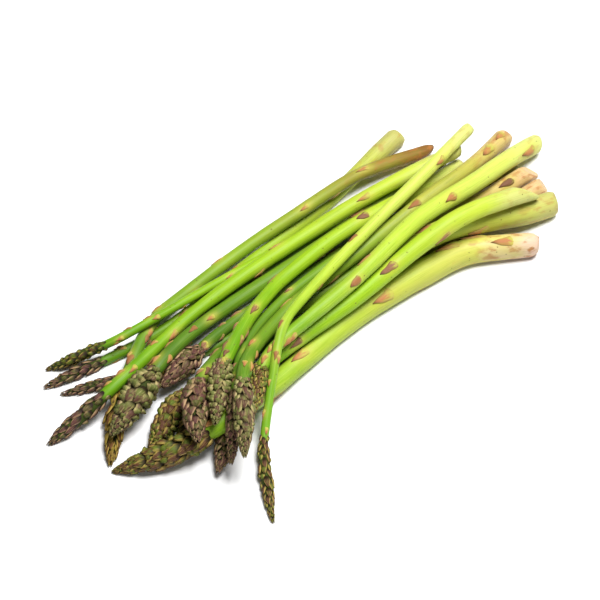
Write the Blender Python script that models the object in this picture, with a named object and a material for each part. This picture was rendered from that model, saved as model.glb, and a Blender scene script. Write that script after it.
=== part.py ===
"""A loose bundle of fresh asparagus that lies on a surface with its tips towards +X.

Each spear grew as one piece, so it is one solid: a stem with a cut butt, triangular scale
leaves along it, and a head of folded scales. The spears start on rough routes laid by hand and
then settle, so that each one rests on those below it and crosses none of them.
"""
import math
import random

import bmesh
import bpy
import numpy as np
from mathutils import Vector

# All lengths are in millimetres and become metres when a point of a mesh is made.
MM = 0.001
SEED = 7

# Stem
SIDES = 8
RING_STEP = 20.0
BUTT_ROUNDING = 1.2
BUTT_FACE = 0.8
BUTT_SHARE = 0.22
NECK_SHARE = 0.8

# Scale leaves on the stem: a leaf is as long as LEAF_LENGTH diameters of the stem, spans two of
# its columns, and stands off it by these rises
LEAF_LENGTH = 0.9
LEAF_ROOT_SHARE = 0.15
LEAF_ROOT_RISE = 0.35
LEAF_RISE = 0.7
LEAF_OVERHANG = 0.8

# Head: whorls of scales, as shares of the head's outline and of each whorl's pitch
WHORL_PITCH = 5.2
WHORL_SHRINK = 0.9
WHORLS_LEAST = 5
WHORLS_SHARE = 0.94
HEAD_BELLY = 0.3
HEAD_POINT = 2.2
SCALE_VALLEY = 0.84
SCALE_ROOT = 0.80
SCALE_FLARE = 1.05
ROOT_AT = 0.02
BELLY_AT = 0.42
TIPS_AT = 0.75
TIPS_REACH = 0.37
TIP_RADIUS = 0.7
FLARE_VARIES = (0.94, 1.0)
REACH_VARIES = (0.85, 1.1)

# Pile
SAMPLES = 40
GAP = 0.35
LEAF_ROOM = 0.55
SETTLE_STEPS = 600
EASED_SHARE = 0.6
STIFFNESS = 150.0
SINK = 0.12
HOLD = 0.08
FLATTENED = 0.25
NEVER_ZERO = 1e-6

SKIN_ROUGHNESS = 0.45
SHARP_FROM = math.radians(35.0)
FRESH_GREEN = (0.33, 0.50, 0.09, 1.0)
DEEP_GREEN = (0.17, 0.35, 0.05, 1.0)
PALE_GREEN = (0.50, 0.58, 0.22, 1.0)
PINK_BROWN = (0.43, 0.36, 0.17, 1.0)

# Name; diameters at the butt, of the stem, under the head and of the head; the head's length;
# slope of the cut and the way it faces in degrees; colour. Then the leaves, from the butt: how
# far along each one's root is, and the way it faces in degrees, where 0 is -Y and 90 is up.
# Then the route from the butt to the tip, as x, y and height.
SPEARS = (
    ("spear_front", (11.7, 13.0, 9.0, 11.0), 45, (0.1, 180), FRESH_GREEN,
     [(12, 105), (24, 45), (37, 70), (58, 250), (79, 130), (104, 340), (130, 90), (150, 240),
      (166, 140), (182, 20)],
     [(-92, 47, 7), (-67, 16, 7), (-22, 13, 7), (19, 9, 6), (60, 13, 6), (99, 16, 6), (131, -4, 5)]),
    ("spear_edge", (12.6, 11.2, 8.0, 9.0), 34, (0.3, 150), PALE_GREEN,
     [(16, 330), (40, 190), (66, 60), (96, 300), (125, 130), (150, 20), (170, 220), (184, 100)],
     [(-118, 34, 7), (-82, 24, 8), (-46, 12, 10), (-9, 6, 10), (27, 3, 6), (64, 8, 4), (101, 28, 4)]),
    ("spear_olive", (9.0, 7.2, 5.9, 10.4), 34, (0.6, 120), PINK_BROWN,
     [(14, 135), (31, 260), (49, 120), (76, 350), (103, 220), (130, 60), (156, 300), (178, 170),
      (195, 50)],
     [(-124, 23, 5), (-85, 13, 4), (-44, 6, 4), (-3, 0, 4), (37, -7, 4), (77, -13, 5), (113, 1, 5)]),
    ("spear_pointed_butt", (9.0, 8.5, 6.8, 11.0), 36, (1.0, 90), PINK_BROWN,
     [(13, 110), (40, 250), (68, 30), (97, 170), (125, 300), (150, 70), (172, 210), (189, 350),
      (203, 125)],
     [(-126, 11, 5), (-84, 7, 6), (-44, -2, 6), (-2, -8, 7), (38, -12, 10), (76, -3, 14),
      (104, 23, 18)]),
    ("spear_twig", (5.4, 5.0, 4.0, 4.8), 30, (0.2, 90), DEEP_GREEN,
     [(20, 40), (55, 180), (90, 310), (125, 90), (158, 230), (188, 10), (208, 150)],
     [(-126, 6, 3), (-82, 0, 3), (-39, -9, 3), (5, -15, 3), (49, -20, 3), (86, -32, 3),
      (119, -51, 3)]),
    ("spear_back_club", (9.9, 7.4, 5.0, 5.4), 30, (0.2, 90), PALE_GREEN,
     [(16, 220), (38, 80), (64, 310), (90, 180), (114, 70), (132, 270), (148, 100), (166, 230),
      (183, 40)],
     [(-100, -49, 5), (-62, -45, 4), (-23, -39, 4), (13, -40, 3), (49, -43, 3), (85, -50, 3),
      (121, -59, 3)]),
    ("spear_hidden_brown", (6.3, 5.8, 5.2, 8.2), 30, (0.3, 90), DEEP_GREEN,
     [(20, 60), (48, 200), (76, 330), (104, 110), (130, 250), (152, 30)],
     [(-94, -10, 3), (-62, -21, 3), (-29, -30, 3), (4, -35, 3), (38, -36, 3), (73, -28, 7),
      (107, -28, 8)]),
    ("spear_wide_head", (7.6, 7.2, 6.3, 12.0), 38, (0.3, 60), DEEP_GREEN,
     [(22, 300), (52, 80), (84, 210), (116, 340), (146, 120), (167, 250), (181, 40)],
     [(-99, -15, 7), (-63, -20, 8), (-26, -25, 6), (12, -28, 5), (49, -31, 7), (88, -24, 9),
      (123, -14, 8)]),
    ("spear_raised_tip", (6.8, 6.3, 5.4, 9.6), 28, (0.2, 90), DEEP_GREEN,
     [(20, 120), (50, 260), (80, 30), (112, 170), (138, 40), (152, 280), (164, 145)],
     [(-104, -2, 4), (-72, -9, 4), (-39, -16, 4), (-6, -20, 4), (27, -23, 5), (59, -23, 9),
      (89, -19, 19)]),
    ("spear_brown_cut", (6.8, 6.4, 5.8, 8.6), 42, (1.2, 270), PINK_BROWN,
     [(14, 250), (35, 100), (54, 220), (73, 115), (97, 310), (121, 35), (141, 180), (161, 40),
      (175, 155), (191, 45)],
     [(-102, -32, 6), (-62, -44, 8), (-20, -43, 9), (21, -50, 7), (60, -50, 6), (96, -31, 10),
      (130, -7, 5)]),
    ("spear_dark_low", (5.8, 5.4, 4.5, 6.3), 34, (0.2, 90), DEEP_GREEN,
     [(18, 200), (46, 330), (76, 110), (108, 65), (132, 240), (154, 150), (173, 60)],
     [(-97, 1, 9), (-61, -8, 9), (-23, -13, 10), (14, -14, 12), (49, -8, 17), (76, 13, 15),
      (97, 33, 7)]),
    ("spear_thin_left", (5.0, 4.6, 4.1, 5.2), 30, (0.2, 90), FRESH_GREEN,
     [(18, 50), (48, 190), (82, 320), (121, 130), (145, 260), (167, 45), (183, 140)],
     [(-99, -23, 3), (-63, -29, 3), (-26, -36, 3), (11, -39, 5), (48, -43, 11), (85, -48, 12),
      (114, -66, 6)]),
    ("spear_slant_butt", (9.0, 9.0, 6.8, 11.4), 34, (1.3, 100), FRESH_GREEN,
     [(18, 270), (48, 180), (79, 110), (108, 330), (137, 135), (156, 240), (171, 60)],
     [(-103, 29, 17), (-69, 20, 18), (-33, 11, 18), (4, 13, 16), (40, 8, 12), (76, 13, 12),
      (105, 5, 13)]),
    ("spear_under_pink", (7.6, 7.2, 6.3, 8.8), 34, (0.2, 90), FRESH_GREEN,
     [(16, 190), (38, 320), (61, 95), (88, 230), (114, 10), (139, 105), (153, 200), (165, 25),
      (176, 95)],
     [(-104, -11, 10), (-68, -16, 12), (-32, -21, 12), (5, -22, 13), (38, -12, 20), (68, 2, 22),
      (93, 21, 16)]),
    ("spear_long_left", (7.2, 7.2, 5.9, 6.8), 34, (0.3, 200), FRESH_GREEN,
     [(20, 240), (53, 120), (78, 300), (102, 40), (116, 200), (142, 320), (170, 150), (188, 260),
      (203, 45)],
     [(-101, -11, 12), (-67, -19, 15), (-27, -30, 12), (15, -37, 11), (60, -36, 11), (102, -28, 10),
      (141, -35, 4)]),
    ("spear_pink_butt", (9.0, 7.2, 6.3, 8.4), 36, (0.5, 90), PINK_BROWN,
     [(5, 90), (19, 105), (45, 250), (73, 100), (100, 330), (128, 210), (155, 20), (172, 300),
      (189, 65), (206, 175)],
     [(-137, -12, 10), (-95, -3, 14), (-57, -8, 15), (-14, -8, 15), (27, -7, 19), (67, 10, 23),
      (96, 40, 12)]),
    ("spear_wide_top", (9.4, 9.4, 5.9, 6.4), 28, (0.3, 180), FRESH_GREEN,
     [(9, 155), (38, 270), (69, 125), (98, 240), (127, 35), (140, 140), (162, 300), (183, 170),
      (198, 85)],
     [(-143, 4, 11), (-105, 2, 16), (-64, 6, 19), (-25, 11, 23), (12, 11, 22), (49, 8, 18),
      (81, 27, 14)]),
    ("spear_hook_top", (6.3, 6.3, 4.0, 5.4), 42, (0.3, 120), FRESH_GREEN,
     [(26, 145), (58, 280), (87, 55), (103, 310), (119, 200), (136, 330), (152, 55), (167, 95),
      (180, 250), (193, 40)],
     [(-114, -16, 14), (-79, -12, 19), (-38, -9, 21), (4, -4, 21), (44, 9, 20), (77, 31, 9),
      (102, 64, 3)]),
)


def eased(value):
    """A smooth step from 0 to 1."""
    value = min(max(value, 0.0), 1.0)
    return value * value * (3.0 - 2.0 * value)


def along(points, share):
    """Position and direction on a smooth curve through evenly spaced points."""
    last = len(points) - 1
    where = min(max(share, 0.0), 1.0) * last
    start = min(int(where), last - 1)
    part = where - start
    before = points[start - 1] if start > 0 else 2.0 * points[0] - points[1]
    after = points[start + 2] if start + 2 <= last else 2.0 * points[last] - points[last - 1]
    here = points[start]
    there = points[start + 1]
    slope_here = (there - before) / 2.0
    slope_there = (after - here) / 2.0
    position = (
        here * (2 * part**3 - 3 * part**2 + 1)
        + slope_here * (part**3 - 2 * part**2 + part)
        + there * (3 * part**2 - 2 * part**3)
        + slope_there * (part**3 - part**2)
    )
    direction = (
        (here - there) * (6 * part**2 - 6 * part)
        + slope_here * (3 * part**2 - 4 * part + 1)
        + slope_there * (3 * part**2 - 2 * part)
    )
    return position, direction


def spaced(points, count):
    """The same route as count points at even steps."""
    fine = np.array([along(points, share)[0] for share in np.linspace(0.0, 1.0, 8 * count)])
    steps = np.linalg.norm(np.diff(fine, axis=0), axis=1)
    walked = np.concatenate([[0.0], np.cumsum(steps)])
    marks = np.linspace(0.0, walked[-1], count)
    return np.stack([np.interp(marks, walked, fine[:, axis]) for axis in range(3)], axis=1)


def length_of(points):
    return float(np.linalg.norm(np.diff(points, axis=0), axis=1).sum())


class Spear:
    """The sizes of one spear, and its radius at each place along it."""

    def __init__(self, name, diameters, head_length, cut, colour, leaves, route):
        self.name = name
        self.butt, self.stem, self.neck, self.head = (size / 2.0 for size in diameters)
        self.head_length = head_length
        self.cut_slope, self.cut_faces = cut
        self.colour = colour
        self.leaves = leaves
        self.route = spaced(np.array(route, dtype=float), SAMPLES)
        self.length = length_of(self.route)

    def stem_radius(self, at):
        """Radius of the stem: a wider butt, an even middle and a slow taper to the neck."""
        neck_at = self.length - self.head_length
        widening = 1.0 - eased(at / (BUTT_SHARE * self.length))
        taper = eased((at / neck_at - (1.0 - NECK_SHARE)) / NECK_SHARE)
        middle = self.stem + (self.neck - self.stem) * taper
        return middle + (self.butt - self.stem) * widening

    def head_radius(self, share):
        """Radius of the head's outline, from its base at 0 to its tip at 1."""
        if share < HEAD_BELLY:
            return self.neck + (self.head - self.neck) * eased(share / HEAD_BELLY)
        closing = (share - HEAD_BELLY) / (1.0 - HEAD_BELLY)
        return self.head * (1.0 - closing**HEAD_POINT) + TIP_RADIUS * closing

    def radius(self, at):
        into_head = at - (self.length - self.head_length)
        if into_head > 0.0:
            return self.head_radius(min(into_head / self.head_length, 1.0))
        return self.stem_radius(at)

    def girth(self):
        """Radius to keep clear at each sample of the route."""
        marks = np.linspace(0.0, self.length, SAMPLES)
        return np.array([self.radius(at) for at in marks]) + LEAF_ROOM


def settle(spears):
    """Let the spears sink and push each other aside until none crosses another.

    A push or a drop at one place is shared along the spear, which is stiff. At first each
    spear is also held near the route that it was laid on, so that the bundle stays narrow.
    """
    count = len(spears)
    bends = np.zeros((SAMPLES - 2, SAMPLES))
    for row in range(SAMPLES - 2):
        bends[row, row:row + 3] = (1.0, -2.0, 1.0)
    shared = np.linalg.inv(np.eye(SAMPLES) + STIFFNESS * bends.T @ bends)
    girths = np.array([spear.girth() for spear in spears])
    floor = (girths - LEAF_ROOM) * math.cos(math.pi / SIDES) - FLATTENED
    reach = girths.reshape(-1, 1) + girths.reshape(1, -1) + GAP
    owner = np.repeat(np.arange(count), SAMPLES)
    apart_nodes = owner[:, None] != owner[None, :]
    laid = np.array([spear.route for spear in spears])
    paths = laid.copy()
    for step in range(SETTLE_STEPS):
        points = paths.reshape(-1, 3)
        squares = (points**2).sum(axis=1)
        apart = squares[:, None] + squares[None, :] - 2.0 * points @ points.T
        apart = np.sqrt(np.maximum(apart, NEVER_ZERO))
        near, other = np.nonzero(apart_nodes & (apart < reach))
        short = (reach - apart)[near, other] / apart[near, other]
        moves = np.zeros_like(points)
        np.add.at(moves, near, (points[near] - points[other]) * short[:, None])
        contacts = np.bincount(near, minlength=len(points))
        moves /= np.maximum(contacts, 1)[:, None]
        easing = max(0.0, 1.0 - step / (EASED_SHARE * SETTLE_STEPS))
        moves[:, 2] -= SINK * easing
        moves = moves.reshape(count, SAMPLES, 3)
        moves[:, :, :2] += HOLD * easing * (laid - paths)[:, :, :2]
        paths = paths + shared @ moves
        lifts = np.maximum(floor - paths[:, :, 2], 0.0)
        paths[:, :, 2] += (shared @ lifts[:, :, None])[:, :, 0]
    paths[:, :, 2] = np.maximum(paths[:, :, 2], floor)
    for spear, path in zip(spears, paths):
        spear.route = spaced(path, SAMPLES)
        spear.length = length_of(spear.route)


class SpearMesh:
    """Builds one spear's solid ring by ring, from the butt to the tip."""

    def __init__(self, spear, rng):
        self.spear = spear
        self.rng = rng
        self.mesh = bmesh.new()
        self.rings = []
        self.last_at = BUTT_ROUNDING

    def angle(self, column):
        """The way a column of the stem faces, where 0 is to the side and a quarter turn is up."""
        return 2.0 * math.pi * (column + 0.5) / SIDES

    def place(self, at, column, radius, forward=0.0):
        """A new point at a length along the stem, on a column round it."""
        position, direction = along(self.spear.route, at / self.spear.length)
        ahead = Vector(direction).normalized()
        side = ahead.cross(Vector((0.0, 0.0, 1.0))).normalized()
        above = side.cross(ahead)
        angle = self.angle(column)
        outward = side * math.cos(angle) + above * math.sin(angle)
        point = Vector(position) + outward * radius + ahead * forward
        point.z = max(point.z, 0.0)
        return self.mesh.verts.new(point * MM)

    def ring(self, at, radii, forward=None):
        forward = forward or [0.0] * SIDES
        points = [
            self.place(at, column, radii[column], forward[column]) for column in range(SIDES)
        ]
        self.rings.append(points)
        return points

    def band(self, lower, upper, skipped=()):
        """Faces between two rings, except in the skipped columns."""
        for column in range(SIDES):
            if column in skipped:
                continue
            following = (column + 1) % SIDES
            self.mesh.faces.new((lower[column], upper[column], upper[following], lower[following]))

    def butt(self):
        """The cut end: a slanted flat face with a softly rounded edge."""
        spear = self.spear
        faces = math.radians(spear.cut_faces)
        slant = [
            spear.cut_slope * spear.butt * math.cos(self.angle(column) - faces)
            for column in range(SIDES)
        ]
        inner = [BUTT_FACE * offset for offset in slant]
        edge = self.ring(0.0, [BUTT_FACE * spear.butt] * SIDES, inner)
        shoulder = self.ring(BUTT_ROUNDING, [spear.butt] * SIDES, slant)
        self.mesh.faces.new(edge)
        self.band(edge, shoulder)

    def leaf(self, lower, upper, at, length, first_column):
        """A scale leaf raised from two columns of the stem, pointed towards the tip."""
        radius = self.spear.stem_radius(at)
        columns = [(first_column + step) % SIDES for step in range(3)]
        root_at = at + LEAF_ROOT_SHARE * length
        root = [self.place(root_at, column, radius + LEAF_ROOT_RISE) for column in columns]
        tip_at = at + length + LEAF_OVERHANG
        tip = self.place(tip_at, columns[1], self.spear.stem_radius(tip_at) + LEAF_RISE)
        left, middle, right = (lower[column] for column in columns)
        far_left, far_middle, far_right = (upper[column] for column in columns)
        new = self.mesh.faces.new
        new((left, root[0], root[1], middle))
        new((middle, root[1], root[2], right))
        new((root[0], tip, root[1]))
        new((root[1], tip, root[2]))
        new((left, far_left, tip, root[0]))
        new((root[2], tip, far_right, right))
        new((far_left, far_middle, tip))
        new((tip, far_middle, far_right))

    def stem(self):
        """Rings up to the head, with a leaf between two of them wherever one grows."""
        spear = self.spear
        for at, faces in spear.leaves:
            length = LEAF_LENGTH * 2.0 * spear.stem_radius(at)
            self.plain_rings(at)
            lower = self.rings[-1]
            upper = self.ring(at + length, [spear.stem_radius(at + length)] * SIDES)
            column = round(faces * SIDES / 360.0 - 1.5) % SIDES
            self.band(lower, upper, (column, (column + 1) % SIDES))
            self.leaf(lower, upper, at, length, column)
            self.last_at = at + length
        self.plain_rings(spear.length - spear.head_length)

    def plain_rings(self, target):
        """Plain rings at even steps from the last ring to the target."""
        gap = target - self.last_at
        steps = max(1, math.ceil(gap / RING_STEP))
        for step in range(1, steps + 1):
            at = self.last_at + gap * step / steps
            lower = self.rings[-1]
            self.band(lower, self.ring(at, [self.spear.stem_radius(at)] * SIDES))
        self.last_at = target

    def head(self):
        """Whorls of pointed scales, each set in the gaps of the one before it."""
        spear = self.spear
        base = spear.length - spear.head_length
        count = max(WHORLS_LEAST, round(spear.head_length / WHORL_PITCH) + 1)
        pitches = [WHORL_SHRINK**index for index in range(count)]
        unit = WHORLS_SHARE * spear.head_length / sum(pitches)
        at = base
        for index, share in enumerate(pitches):
            pitch = unit * share
            self.whorl(at, pitch, base, index)
            at += pitch
        tip = self.place(spear.length, 0, 0.0)
        last = self.rings[-1]
        for column in range(SIDES):
            self.mesh.faces.new((last[column], tip, last[(column + 1) % SIDES]))

    def whorl(self, at, pitch, base, index):
        """One whorl: its root ring, its belly and its tips, which reach past the next root."""
        spear = self.spear

        def outline(place):
            return spear.head_radius(min(max((place - base) / spear.head_length, 0.0), 1.0))

        raised = [(column + index) % 2 == 0 for column in range(SIDES)]
        if index > 0:
            root = outline(at) * SCALE_ROOT
            lower = self.rings[-1]
            self.band(lower, self.ring(at + ROOT_AT * pitch, [root] * SIDES))
        belly_at = at + BELLY_AT * pitch
        belly = outline(belly_at)
        radii = [belly if up else belly * SCALE_VALLEY for up in raised]
        lower = self.rings[-1]
        self.band(lower, self.ring(belly_at, radii))
        tips_at = at + TIPS_AT * pitch
        radii = []
        forward = []
        for up in raised:
            flare = SCALE_FLARE * self.rng.uniform(*FLARE_VARIES)
            radii.append(outline(tips_at) * (flare if up else SCALE_VALLEY))
            reach = TIPS_REACH * pitch * self.rng.uniform(*REACH_VARIES)
            forward.append(reach if up else 0.0)
        lower = self.rings[-1]
        self.band(lower, self.ring(tips_at, radii, forward))

    def build(self):
        self.butt()
        self.stem()
        self.head()
        bmesh.ops.recalc_face_normals(self.mesh, faces=self.mesh.faces)
        mesh = bpy.data.meshes.new(self.spear.name)
        self.mesh.to_mesh(mesh)
        self.mesh.free()
        return mesh


def skin(name, colour):
    material = bpy.data.materials.new(name + "_skin")
    material.use_nodes = True
    shader = material.node_tree.nodes["Principled BSDF"]
    shader.inputs["Base Color"].default_value = colour
    shader.inputs["Roughness"].default_value = SKIN_ROUGHNESS
    return material


def centre_on_floor(meshes):
    """Move all the meshes so that the middle of the bundle's base is the origin."""
    corners = np.array([vertex.co[:] for mesh in meshes for vertex in mesh.vertices])
    low = corners.min(axis=0)
    high = corners.max(axis=0)
    shift = Vector((-(low[0] + high[0]) / 2.0, -(low[1] + high[1]) / 2.0, -low[2]))
    for mesh in meshes:
        for vertex in mesh.vertices:
            vertex.co += shift


def build():
    for item in list(bpy.data.objects):
        bpy.data.objects.remove(item, do_unlink=True)
    rng = random.Random(SEED)
    spears = [Spear(*sizes) for sizes in SPEARS]
    settle(spears)
    meshes = [SpearMesh(spear, rng).build() for spear in spears]
    centre_on_floor(meshes)
    for spear, mesh in zip(spears, meshes):
        mesh.materials.append(skin(spear.name, spear.colour))
        mesh.shade_smooth()
        mesh.set_sharp_from_angle(angle=SHARP_FROM)
        item = bpy.data.objects.new(spear.name, mesh)
        bpy.context.scene.collection.objects.link(item)


build()
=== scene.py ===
"""A loose bundle of fresh green asparagus, each spear dressed over its fixed solid."""
import math
import random

import bpy
import numpy as np
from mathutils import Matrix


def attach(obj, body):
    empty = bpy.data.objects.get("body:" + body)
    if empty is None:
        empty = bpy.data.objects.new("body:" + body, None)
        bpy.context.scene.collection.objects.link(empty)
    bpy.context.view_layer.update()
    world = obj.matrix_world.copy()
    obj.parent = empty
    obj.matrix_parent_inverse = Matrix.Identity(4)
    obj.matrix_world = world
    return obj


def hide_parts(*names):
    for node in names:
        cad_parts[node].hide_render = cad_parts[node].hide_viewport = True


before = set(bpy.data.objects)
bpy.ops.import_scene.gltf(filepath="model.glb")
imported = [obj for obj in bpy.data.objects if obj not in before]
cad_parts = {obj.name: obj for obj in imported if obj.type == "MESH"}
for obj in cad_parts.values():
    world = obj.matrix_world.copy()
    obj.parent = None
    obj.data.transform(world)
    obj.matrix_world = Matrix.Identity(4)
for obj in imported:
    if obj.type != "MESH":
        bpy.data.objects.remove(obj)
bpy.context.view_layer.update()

# The surface the bundle lies on, the lamps and the camera
# A plain pale sheet in soft light from a wide lamp overhead, with the camera above the heads'
# side of the bundle, as in the photograph.

FLOOR_COLOUR = (0.84, 0.84, 0.84, 1.0)
FLOOR_ROUGHNESS = 0.8
FLOOR_SHINE = 0.2
FLOOR_HALF = 6.0
SKY_COLOUR = (1.0, 1.0, 1.0, 1.0)
SKY_STRENGTH = 0.08
AIM = (0.0149, -0.0049, 0.012)
CAMERA_AZIMUTH = math.radians(134.0)
CAMERA_HEIGHT = math.radians(50.0)
CAMERA_DISTANCE = 0.95
CAMERA_LENS = 126.67
CAMERA_SENSOR = 36.0
NEAREST_SEEN = 0.01

bpy.ops.object.select_all(action="DESELECT")
bpy.ops.mesh.primitive_grid_add(x_subdivisions=8, y_subdivisions=8, size=2.0 * FLOOR_HALF)
floor = bpy.context.active_object
floor.name = "floor"
floor_paint = bpy.data.materials.new("floor_paint")
floor_paint.use_nodes = True
floor_sockets = floor_paint.node_tree.nodes["Principled BSDF"].inputs
floor_sockets["Base Color"].default_value = FLOOR_COLOUR
floor_sockets["Roughness"].default_value = FLOOR_ROUGHNESS
floor_sockets["Specular IOR Level"].default_value = FLOOR_SHINE
floor.data.materials.append(floor_paint)

sky = bpy.data.worlds.new("studio")
bpy.context.scene.world = sky
sky.use_nodes = True
sky.node_tree.nodes["Background"].inputs["Color"].default_value = SKY_COLOUR
sky.node_tree.nodes["Background"].inputs["Strength"].default_value = SKY_STRENGTH


def lamp(name, place, size, power):
    """A square soft lamp that faces the bundle."""
    light = bpy.data.lights.new(name, "AREA")
    light.size = size
    light.energy = power
    item = bpy.data.objects.new(name, light)
    item.location = place
    item.rotation_euler = (-item.location).to_track_quat("-Z", "Y").to_euler()
    bpy.context.scene.collection.objects.link(item)


lamp("lamp_overhead", place=(-0.25, 0.15, 1.1), size=0.55, power=24.0)
lamp("lamp_front", place=(0.9, 0.75, 0.55), size=0.6, power=2.0)

lens = bpy.data.cameras.new("camera")
lens.lens = CAMERA_LENS
lens.sensor_width = CAMERA_SENSOR
lens.clip_start = NEAREST_SEEN
camera = bpy.data.objects.new("camera", lens)
camera.location = (
    AIM[0] + CAMERA_DISTANCE * math.sin(CAMERA_AZIMUTH) * math.cos(CAMERA_HEIGHT),
    AIM[1] - CAMERA_DISTANCE * math.cos(CAMERA_AZIMUTH) * math.cos(CAMERA_HEIGHT),
    AIM[2] + CAMERA_DISTANCE * math.sin(CAMERA_HEIGHT),
)
camera.rotation_euler = (math.pi / 2.0 - CAMERA_HEIGHT, 0.0, CAMERA_AZIMUTH)
bpy.context.scene.collection.objects.link(camera)
bpy.context.scene.camera = camera
bpy.context.scene.view_settings.view_transform = "Standard"

# The way each spear lies
# A spear is modelled straight, as it grew, and then laid along the middle of its solid, which
# is found from thin slices of the solid. Its small bends are eased by a millimetre at most.

MM = 0.001
SLICE_STEP = 6.0 * MM
FINE_STEP = 1.0 * MM
BUTT_SPARE = 2.0 * MM
TIP_SPARE = 3.0 * MM
RUN_OUT = 20
LIGHT_TURNS = 2
EASE_TURNS = 60
MOST_SHIFT = 1.0 * MM
ROUNDING = np.array([1.0, 2.0, 3.0, 4.0, 5.0, 4.0, 3.0, 2.0, 1.0]) / 25.0


def unit(vectors):
    return vectors / np.linalg.norm(vectors, axis=-1, keepdims=True)


def slice_centre(corners, triangles, point, ahead):
    """Middle of the slice of a solid in the plane through a point, square to a direction."""
    heights = ((corners - point) @ ahead)[triangles]
    cut = (heights.min(axis=1) < 0.0) & (heights.max(axis=1) >= 0.0)
    heights = heights[cut]
    spots = corners[triangles[cut]] - point
    enter = np.zeros((len(spots), 3))
    leave = np.zeros((len(spots), 3))
    for first, second in ((0, 1), (1, 2), (2, 0)):
        rise = heights[:, first] - heights[:, second]
        part = heights[:, first] / np.where(rise == 0.0, 1.0, rise)
        where = spots[:, first] + part[:, None] * (spots[:, second] - spots[:, first])
        falls = (heights[:, first] >= 0.0) & (heights[:, second] < 0.0)
        climbs = (heights[:, first] < 0.0) & (heights[:, second] >= 0.0)
        enter[falls] = where[falls]
        leave[climbs] = where[climbs]
    weights = np.cross(enter, leave) @ ahead
    return point + ((enter + leave) * weights[:, None]).sum(axis=0) / (3.0 * weights.sum())


def follow(corners, triangles, start, ahead, spare):
    """Middles of slices from a start to one end, the way on there, and what is left to go."""
    line = [start]
    reach = ((corners - start) @ ahead).max()
    while reach > spare + SLICE_STEP:
        centre = slice_centre(corners, triangles, line[-1] + SLICE_STEP * ahead, ahead)
        ahead = unit(ahead + unit(centre - line[-1]))
        line.append(centre)
        reach = ((corners - centre) @ ahead).max()
    return line, ahead, reach


def smoothed(line, turns):
    """The line with its small bends taken out, a little more each turn."""
    line = line.copy()
    half = len(ROUNDING) // 2
    for _ in range(turns):
        columns = [np.convolve(line[:, axis], ROUNDING, mode="valid") for axis in range(3)]
        line[half:-half] = np.stack(columns, axis=1)
    return line


def evenly(line):
    """The same line as points at even steps of about 1 mm, and its length."""
    steps = np.linalg.norm(np.diff(line, axis=0), axis=1)
    walked = np.concatenate([[0.0], np.cumsum(steps)])
    marks = np.linspace(0.0, walked[-1], round(walked[-1] / FINE_STEP) + 1)
    even = [np.interp(marks, walked, line[:, axis]) for axis in range(3)]
    return np.stack(even, axis=1), walked[-1]


def run_out(line):
    """The line with a straight run past each end."""
    before = unit(line[0] - line[3])
    after = unit(line[-1] - line[-4])
    steps = np.arange(1, RUN_OUT + 1)[:, None] * FINE_STEP
    return np.vstack([line[0] + before * steps[::-1], line, line[-1] + after * steps])


def centre_line(node, slant):
    """Points along the middle of a spear's solid, with its run-outs, and the spear's length."""
    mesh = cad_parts[node].data
    corners = np.array([vertex.co for vertex in mesh.vertices], dtype=float)
    triangles = np.array([face.vertices for face in mesh.polygons])
    ahead = np.array([1.0, 0.0, 0.0])
    middle = (corners.min(axis=0) + corners.max(axis=0)) / 2.0
    middle = slice_centre(corners, triangles, middle, ahead)
    back, backward, butt_reach = follow(corners, triangles, middle, -ahead, slant + BUTT_SPARE)
    front, forward, tip_reach = follow(corners, triangles, middle, ahead, TIP_SPARE)
    butt = back[-1] + backward * (butt_reach - slant / 2.0)
    tip = front[-1] + forward * tip_reach
    line = evenly(np.array([butt] + back[:0:-1] + front + [tip]))[0]
    line = smoothed(run_out(line), LIGHT_TURNS)
    straighter = smoothed(line, EASE_TURNS) - line
    shift = np.linalg.norm(straighter, axis=1, keepdims=True)
    eased_line = line + straighter * MOST_SHIFT / np.maximum(shift, MOST_SHIFT)
    line, length = evenly(smoothed(eased_line, LIGHT_TURNS)[RUN_OUT:-RUN_OUT])
    return run_out(line), length


# The straight stem
# A spear grows as one piece with its leaves and head. Its stem is a tube cut into many rings,
# with its radius as 1: the line it is laid along gives it its real radius at each place.

SIDES = 28
RING_STEP = 1.6 * MM
BUTT_INSETS = (0.93, 0.72, 0.8, 0.7, 0.5)
CORE_INSETS = (0.6,)
END_MARGIN = 1e-4
FACE_MARGIN = 1e-6
CUT_SLOT = 1

BUTT_SHARE = 0.22
NECK_SHARE = 0.8
HEAD_BELLY = 0.3
HEAD_POINT = 2.2
TIP_RADIUS = 0.7 * MM
LINE_PER_SLOPE = 1.6

ROUND_RADIUS = 0.965
BUTT_ROUNDING = 2.4 * MM
BUTT_FACE = 0.84
SLANT_FADE = 14.0 * MM
DISH_DEPTH = 0.35 * MM
CORE_SHORT = 3.0 * MM
CORE_START = 2.0 * MM
CORE_FADE = 5.0 * MM

NODE_SWELL = 0.045
NODE_LENGTH = 0.5
NODE_FAR_SIDE = 0.4
NODE_REACH = 0.9
HALO_AHEAD = 0.35
HALO_LENGTH = 0.62
HALO_REACH = 0.75
RIDGES = 0.012
FINE_RIDGES = 0.008
WAVES = 0.012
WAVE_LENGTH = 9.0 * MM


def eased(value):
    """A smooth step from 0 to 1."""
    value = np.clip(value, 0.0, 1.0)
    return value * value * (3.0 - 2.0 * value)


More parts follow.
